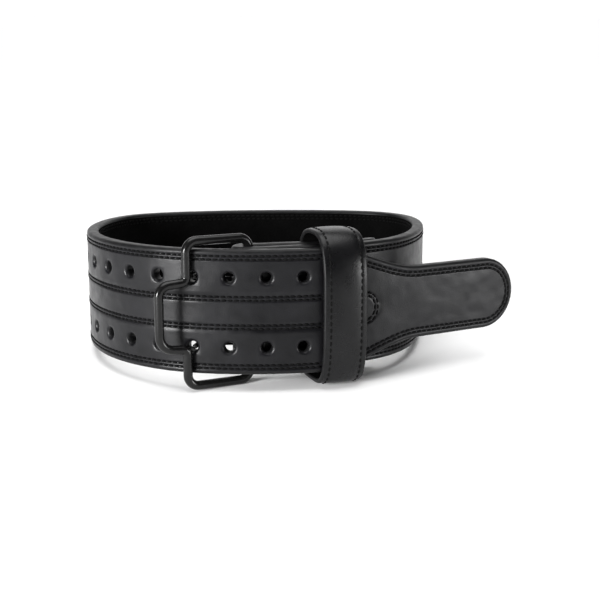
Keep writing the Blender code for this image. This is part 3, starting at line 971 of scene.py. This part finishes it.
def new_material(name, colour, roughness, specular):
    material = bpy.data.materials.new(name)
    material.use_nodes = True
    shader = shader_of(material)
    shader.inputs["Base Color"].default_value = (*colour, 1.0)
    shader.inputs["Roughness"].default_value = roughness
    shader.inputs["Specular IOR Level"].default_value = specular
    return material


def shader_of(material):
    return material.node_tree.nodes["Principled BSDF"]


def add_node(tree, kind, **values):
    """A node with values for its sockets, or for its properties where no socket has that name."""
    node = tree.nodes.new(kind)
    for key, value in values.items():
        if key in node.inputs:
            node.inputs[key].default_value = value
        else:
            setattr(node, key, value)
    return node


def add_range(tree, from_low, from_high, to_low, to_high):
    node = tree.nodes.new("ShaderNodeMapRange")
    sockets = {"From Min": from_low, "From Max": from_high, "To Min": to_low, "To Max": to_high}
    for socket, value in sockets.items():
        node.inputs[socket].default_value = value
    return node


def connect(material, source, output, target, socket):
    material.node_tree.links.new(source.outputs[output], target.inputs[socket])


def pattern(material, kind, **values):
    """A texture that lies still on the object."""
    node = add_node(material.node_tree, kind, **values)
    connect(material, material.node_tree.nodes.new("ShaderNodeTexCoord"), "Object", node, "Vector")
    return node


def noise(material, scale, detail, roughness=0.55):
    return pattern(material, "ShaderNodeTexNoise", Scale=scale, Detail=detail, Roughness=roughness)


def spread_noise(material, source, low, high):
    node = add_range(material.node_tree, NOISE_LOW, NOISE_HIGH, low, high)
    connect(material, source, "Fac", node, "Value")
    return node


def vary_colour(material, source, dark, light):
    mix = add_node(material.node_tree, "ShaderNodeMix", data_type="RGBA")
    for socket, colour in ((MIX_FIRST, dark), (MIX_SECOND, light)):
        mix.inputs[socket].default_value = (*colour, 1.0)
    connect(material, spread_noise(material, source, 0.0, 1.0), "Result", mix, "Factor")
    connect(material, mix, MIX_RESULT, shader_of(material), "Base Color")


def vary_roughness(material, source, low, high):
    connect(material, spread_noise(material, source, low, high), "Result", shader_of(material), "Roughness")


def add_bump(material, source, output, distance, strength, below=None):
    """A bump led to the shader, on top of the bump `below` if there is one."""
    node = add_node(material.node_tree, "ShaderNodeBump", Strength=strength, Distance=distance)
    connect(material, source, output, node, "Height")
    if below is not None:
        connect(material, below, "Normal", node, "Normal")
    connect(material, node, "Normal", shader_of(material), "Normal")
    return node


def leather_material(name, dark, light, gloss, grain_scale, wave_depth):
    """Smooth finished leather: fine pebbled grain, faint mottling and uneven gloss."""
    material = new_material(name, dark, gloss[0], specular=0.21)
    vary_colour(material, noise(material, scale=45.0, detail=5.0), dark, light)
    vary_roughness(material, noise(material, scale=120.0, detail=3.0), *gloss)
    grain = pattern(material, "ShaderNodeTexVoronoi", feature="SMOOTH_F1", Scale=grain_scale)
    fine = add_bump(material, grain, "Distance", distance=0.0003, strength=0.25)
    waves = noise(material, scale=30.0, detail=2.0)
    add_bump(material, waves, "Fac", distance=wave_depth, strength=0.5, below=fine)
    return material


def edge_material(name, dark, light):
    """Burnished and dyed edge with faint streaks along the plies."""
    material = new_material(name, dark, roughness=0.36, specular=0.15)
    streaks = noise(material, scale=160.0, detail=4.0)
    vary_colour(material, streaks, dark, light)
    vary_roughness(material, streaks, 0.32, 0.5)
    add_bump(material, streaks, "Fac", distance=0.0004, strength=0.3)
    return material


def suede_material(name, dark, light):
    """Napped inner side of the leather: matt, fibrous and nearly black."""
    material = new_material(name, dark, roughness=0.95, specular=0.05)
    vary_colour(material, noise(material, scale=60.0, detail=4.0), dark, light)
    nap = noise(material, scale=900.0, detail=6.0, roughness=0.7)
    add_bump(material, nap, "Fac", distance=0.0006, strength=0.5)
    return material


def thread_material(name, colour):
    material = new_material(name, colour, roughness=0.75, specular=0.1)
    fibres = noise(material, scale=2500.0, detail=3.0)
    add_bump(material, fibres, "Fac", distance=0.0002, strength=0.5)
    return material


def wire_material(name, dark, light, gloss):
    """Black coated steel: even, satin, with a faint orange-peel surface and small rubbed spots."""
    material = new_material(name, dark, gloss[0], specular=0.25)
    rub = noise(material, scale=220.0, detail=5.0)
    vary_colour(material, rub, dark, light)
    vary_roughness(material, rub, *gloss)
    peel = noise(material, scale=900.0, detail=2.0)
    add_bump(material, peel, "Fac", distance=0.0002, strength=0.15)
    return material


def add_floor():
    mesh = bpy.data.meshes.new("floor")
    corners = [(x * FLOOR_REACH, y * FLOOR_REACH, 0) for x, y in ((-1, -1), (1, -1), (1, 1), (-1, 1))]
    mesh.from_pydata(corners, [], [(0, 1, 2, 3)])
    mesh.materials.append(new_material("floor_paper", FLOOR_COLOUR, roughness=0.7, specular=0.2))
    add_object("floor", mesh)


def add_world():
    """A white dome overhead and behind, dark towards the front, as in a studio with the room lights off."""
    world = bpy.data.worlds.new("studio")
    world.use_nodes = True
    tree = world.node_tree
    split = tree.nodes.new("ShaderNodeSeparateXYZ")
    direction = tree.nodes.new("ShaderNodeTexCoord")
    tree.links.new(direction.outputs["Generated"], split.inputs["Vector"])
    level = None
    for axis, begins, full, strength in DOME:
        ramp = add_range(tree, begins, full, 0.0, strength)
        ramp.interpolation_type = "SMOOTHSTEP"
        tree.links.new(split.outputs[axis], ramp.inputs["Value"])
        brighter = add_node(tree, "ShaderNodeMath", operation="MAXIMUM")
        brighter.inputs[1].default_value = DOME_ELSEWHERE
        tree.links.new(ramp.outputs["Result"], brighter.inputs[0])
        if level is not None:
            tree.links.new(level, brighter.inputs[1])
        level = brighter.outputs[0]
    background = tree.nodes["Background"]
    background.inputs["Color"].default_value = (1.0, 1.0, 1.0, 1.0)
    tree.links.new(level, background.inputs["Strength"])
    bpy.context.scene.world = world


def add_lights():
    for name, place, size, power in SOFTBOXES:
        data = bpy.data.lights.new(name, "AREA")
        data.shape = "RECTANGLE"
        data.size, data.size_y = size
        data.energy = power
        lamp = add_object(name, data)
        lamp.location = place
        lamp.rotation_euler = (Vector(SOFTBOX_AIM) - Vector(place)).to_track_quat("-Z", "Y").to_euler()


def add_camera():
    data = bpy.data.cameras.new("photo_camera")
    data.lens = LENS_MM
    data.sensor_width = SENSOR_MM
    camera = add_object("photo_camera", data)
    camera.location = STAND @ Vector(EYE)
    camera.rotation_euler = (math.pi / 2 - EYE_DOWN - STAND_TILT, 0.0, 0.0)
    bpy.context.scene.camera = camera


def main():
    leather = leather_material("belt_leather", (0.0022, 0.0022, 0.0028), (0.0068, 0.0068, 0.0080),
                               gloss=(0.29, 0.40), grain_scale=1400.0, wave_depth=0.0036)
    keeper_leather = leather_material("keeper_leather", (0.0022, 0.0022, 0.0025), (0.0050, 0.0050, 0.0055),
                                      gloss=(0.24, 0.34), grain_scale=1500.0, wave_depth=0.0003)
    edge_leather = edge_material("edge_leather", (0.005, 0.005, 0.0053), (0.009, 0.009, 0.0095))
    suede = suede_material("inner_suede", (0.0012, 0.0012, 0.0012), (0.0024, 0.0024, 0.0024))
    thread = thread_material("black_thread", (0.0015, 0.0015, 0.0015))
    coat = (0.0035, 0.0035, 0.0035), (0.006, 0.006, 0.006)
    frame_coat = wire_material("frame_coat", *coat, gloss=(0.15, 0.23))
    prong_coat = wire_material("prong_coat", *coat, gloss=(0.34, 0.46))

    shape = KeeperShape()
    runs = strap_runs()
    pieces = (
        (build_strap(leather, edge_leather, suede), "belt_body", "belt_leather"),
        (build_keeper(shape, keeper_leather, edge_leather, suede), "keeper_loop", "keeper_leather"),
        (build_frame(frame_coat), "buckle_frame", "frame_metal"),
        (build_prong("prong_upper_wire", 1, prong_coat), "prong_upper", "prong_metal"),
        (build_prong("prong_lower_wire", -1, prong_coat), "prong_lower", "prong_metal"),
    )
    stitches = (
        (build_stitches("stitches_outer", runs, strap_places(1), STITCH_PITCH, THREAD_DEPTH, thread),
         "belt_leather"),
        (build_stitches("stitches_inner", runs, strap_places(-1), STITCH_PITCH, THREAD_DEPTH, thread),
         "belt_leather"),
        (build_stitches("stitches_keeper", keeper_runs(shape), keeper_places, KEEPER_PITCH,
                        KEEPER_THREAD_DEPTH, thread), "keeper_leather"),
    )
    for piece, node, slot in pieces:
        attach(piece, "root")
        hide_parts(node)
    for piece, slot in stitches:
        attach(piece, "root")
    add_floor()
    add_world()
    add_lights()
    add_camera()
    bpy.context.scene.view_settings.view_transform = "Standard"


main()
